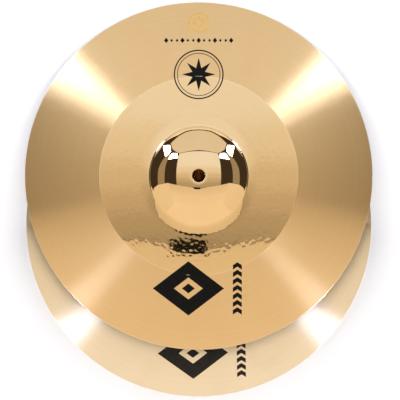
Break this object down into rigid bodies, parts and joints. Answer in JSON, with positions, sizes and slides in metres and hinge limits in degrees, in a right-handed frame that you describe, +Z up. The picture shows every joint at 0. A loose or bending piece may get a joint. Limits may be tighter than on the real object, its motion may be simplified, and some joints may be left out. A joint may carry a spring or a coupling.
{
  "type": "hand cymbals",
  "caption": "Bronze hand cymbals with domed bells, hammered centres, lathed bows and open strap holes, laid overlapping so that the upper one leans on the lower one's bell.",
  "frame": {"origin": "middle of the pair's footprint, on the floor that both rims rest on", "axes": "+Z up; +Y from the lower cymbal's middle towards the upper one's; +X to the right seen from -Y, and the pair is symmetric about X = 0"},
  "size_m": [0.4064, 0.4656, 0.0678],
  "materials": {
    "bronze": "polished",
    "ink": "satin"
  },
  "bodies": {
    "lower_cymbal": {"lower_cymbal": "bronze"},
    "upper_cymbal": {"upper_cymbal": "bronze"}
  },
  "joints": [
    {"name": "upper_lift", "type": "slide", "parent": "lower_cymbal", "child": "upper_cymbal", "axis": [0, 0, 1], "range_m": [0, 0.25]}
  ]
}
